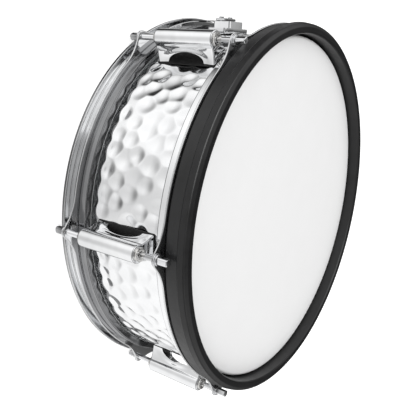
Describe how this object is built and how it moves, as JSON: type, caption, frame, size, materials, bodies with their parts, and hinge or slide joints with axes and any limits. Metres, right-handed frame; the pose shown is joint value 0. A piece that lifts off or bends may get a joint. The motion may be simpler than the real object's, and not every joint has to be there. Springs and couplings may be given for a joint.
{
  "type": "snare drum",
  "caption": "Shallow hammered-metal snare drum: shell with two heads, hoops, box lugs, tension rods, a rubber rim cover, and a strainer that lifts coiled wires against the lower head.",
  "frame": {"origin": "on the drum's axis, at the flat rim of the snare-side hoop that the drum rests on", "axes": "+Z along the drum's axis towards the batter head; +X towards the strainer; -X towards the butt plate"},
  "size_m": [0.4015, 0.4108, 0.1403],
  "materials": {
    "shell_metal": "hammered mirror chrome over rolled steel",
    "hoop_chrome": "mirror chrome plate",
    "lug_chrome": "mirror chrome plate on a zinc casting",
    "rod_chrome": "bright chrome plate",
    "flesh_metal": "satin drawn aluminium",
    "batter_film": "coated white polyester, fine matte grain",
    "snare_film": "thin hazy clear polyester",
    "cover_rubber": "satin black moulded rubber",
    "gasket_rubber": "matte black sheet rubber",
    "zinc": "plain zinc-plated steel",
    "brass_nut": "nickel-washed brass",
    "spacer_plastic": "natural nylon",
    "wire_steel": "bright drawn steel wire",
    "strap_plastic": "woven black nylon ribbon"
  },
  "bodies": {
    "drum": {"shell": "shell_metal", "vent_grommet": "zinc", "lug_screws": "zinc", "lug_screw_washers": "zinc", "strainer_screws": "zinc", "strainer_screw_washers": "zinc", "butt_screws": "zinc", "butt_screw_washers": "zinc", "batter_head_film": "batter_film", "batter_head_collar": "batter_film", "snare_head_film": "snare_film", "snare_head_collar": "snare_film", "batter_flesh_hoop": "flesh_metal", "snare_flesh_hoop": "flesh_metal", "batter_hoop": "hoop_chrome", "snare_hoop": "hoop_chrome", "rim_cover": "cover_rubber", "lug_1": "lug_chrome", "lug_2": "lug_chrome", "lug_3": "lug_chrome", "lug_4": "lug_chrome", "lug_5": "lug_chrome", "lug_6": "lug_chrome", "lug_gaskets": "gasket_rubber", "strainer_gasket": "gasket_rubber", "butt_gasket": "gasket_rubber", "swivel_nuts": "brass_nut", "nut_spacers": "spacer_plastic", "rod_washers": "rod_chrome", "strainer_housing": "lug_chrome", "butt_plate": "lug_chrome", "butt_clamp": "lug_chrome", "lever_pin": "rod_chrome", "butt_clamp_screws": "rod_chrome", "strap_butt": "strap_plastic"},
    "lever": {"throw_off_lever": "lug_chrome"},
    "slider": {"strainer_slider": "lug_chrome"},
    "carriage": {"strap_carriage": "lug_chrome", "strap_clamp": "lug_chrome", "strap_clamp_screws": "rod_chrome", "strap_strainer": "strap_plastic"},
    "knob": {"tension_knob": "rod_chrome", "tension_screw": "rod_chrome"},
    "snares": {"snare_wires": "wire_steel", "end_plate_strainer": "wire_steel", "end_plate_butt": "wire_steel"},
    "batter_rod_1": {"batter_rod_1": "rod_chrome"},
    "batter_rod_2": {"batter_rod_2": "rod_chrome"},
    "batter_rod_3": {"batter_rod_3": "rod_chrome"},
    "batter_rod_4": {"batter_rod_4": "rod_chrome"},
    "batter_rod_5": {"batter_rod_5": "rod_chrome"},
    "batter_rod_6": {"batter_rod_6": "rod_chrome"},
    "snare_rod_1": {"snare_rod_1": "rod_chrome"},
    "snare_rod_2": {"snare_rod_2": "rod_chrome"},
    "snare_rod_3": {"snare_rod_3": "rod_chrome"},
    "snare_rod_4": {"snare_rod_4": "rod_chrome"},
    "snare_rod_5": {"snare_rod_5": "rod_chrome"},
    "snare_rod_6": {"snare_rod_6": "rod_chrome"}
  },
  "joints": [
    {"name": "batter_rod_1_turn", "type": "hinge", "parent": "drum", "child": "batter_rod_1", "pos_m": [0.17061, 0.0985, 0.118], "axis": [0, 0, 1], "continuous": true},
    {"name": "batter_rod_2_turn", "type": "hinge", "parent": "drum", "child": "batter_rod_2", "pos_m": [0, 0.197, 0.118], "axis": [0, 0, 1], "continuous": true},
    {"name": "batter_rod_3_turn", "type": "hinge", "parent": "drum", "child": "batter_rod_3", "pos_m": [-0.17061, 0.0985, 0.118], "axis": [0, 0, 1], "continuous": true},
    {"name": "batter_rod_4_turn", "type": "hinge", "parent": "drum", "child": "batter_rod_4", "pos_m": [-0.17061, -0.0985, 0.118], "axis": [0, 0, 1], "continuous": true},
    {"name": "batter_rod_5_turn", "type": "hinge", "parent": "drum", "child": "batter_rod_5", "pos_m": [0, -0.197, 0.118], "axis": [0, 0, 1], "continuous": true},
    {"name": "batter_rod_6_turn", "type": "hinge", "parent": "drum", "child": "batter_rod_6", "pos_m": [0.17061, -0.0985, 0.118], "axis": [0, 0, 1], "continuous": true},
    {"name": "snare_rod_1_turn", "type": "hinge", "parent": "drum", "child": "snare_rod_1", "pos_m": [0.17061, 0.0985, 0.0115], "axis": [0, 0, 1], "continuous": true},
    {"name": "snare_rod_2_turn", "type": "hinge", "parent": "drum", "child": "snare_rod_2", "pos_m": [0, 0.197, 0.0115], "axis": [0, 0, 1], "continuous": true},
    {"name": "snare_rod_3_turn", "type": "hinge", "parent": "drum", "child": "snare_rod_3", "pos_m": [-0.17061, 0.0985, 0.0115], "axis": [0, 0, 1], "continuous": true},
    {"name": "snare_rod_4_turn", "type": "hinge", "parent": "drum", "child": "snare_rod_4", "pos_m": [-0.17061, -0.0985, 0.0115], "axis": [0, 0, 1], "continuous": true},
    {"name": "snare_rod_5_turn", "type": "hinge", "parent": "drum", "child": "snare_rod_5", "pos_m": [0, -0.197, 0.0115], "axis": [0, 0, 1], "continuous": true},
    {"name": "snare_rod_6_turn", "type": "hinge", "parent": "drum", "child": "snare_rod_6", "pos_m": [0.17061, -0.0985, 0.0115], "axis": [0, 0, 1], "continuous": true},
    {"name": "lever_swing", "type": "hinge", "parent": "drum", "child": "lever", "pos_m": [0.195, 0, 0.066], "axis": [0, 1, 0], "range_deg": [0, 90]},
    {"name": "slider_drop", "type": "slide", "parent": "drum", "child": "slider", "axis": [0, 0, -1], "range_m": [0, 0.005], "deforming": ["strap_strainer"]},
    {"name": "knob_turn", "type": "hinge", "parent": "slider", "child": "knob", "pos_m": [0.201, 0, 0.055], "axis": [0, 0, 1], "continuous": true},
    {"name": "carriage_travel", "type": "slide", "parent": "slider", "child": "carriage", "axis": [0, 0, 1], "range_m": [-0.0015, 0.0015], "deforming": ["strap_strainer"]},
    {"name": "snares_drop", "type": "slide", "parent": "drum", "child": "snares", "axis": [0, 0, -1], "range_m": [0, 0.0008]}
  ],
  "couplings": [
    {"joint": "slider_drop", "follows": "lever_swing", "m_per_rad": 0.0031831},
    {"joint": "snares_drop", "follows": "lever_swing", "m_per_rad": 0.0005093}
  ]
}
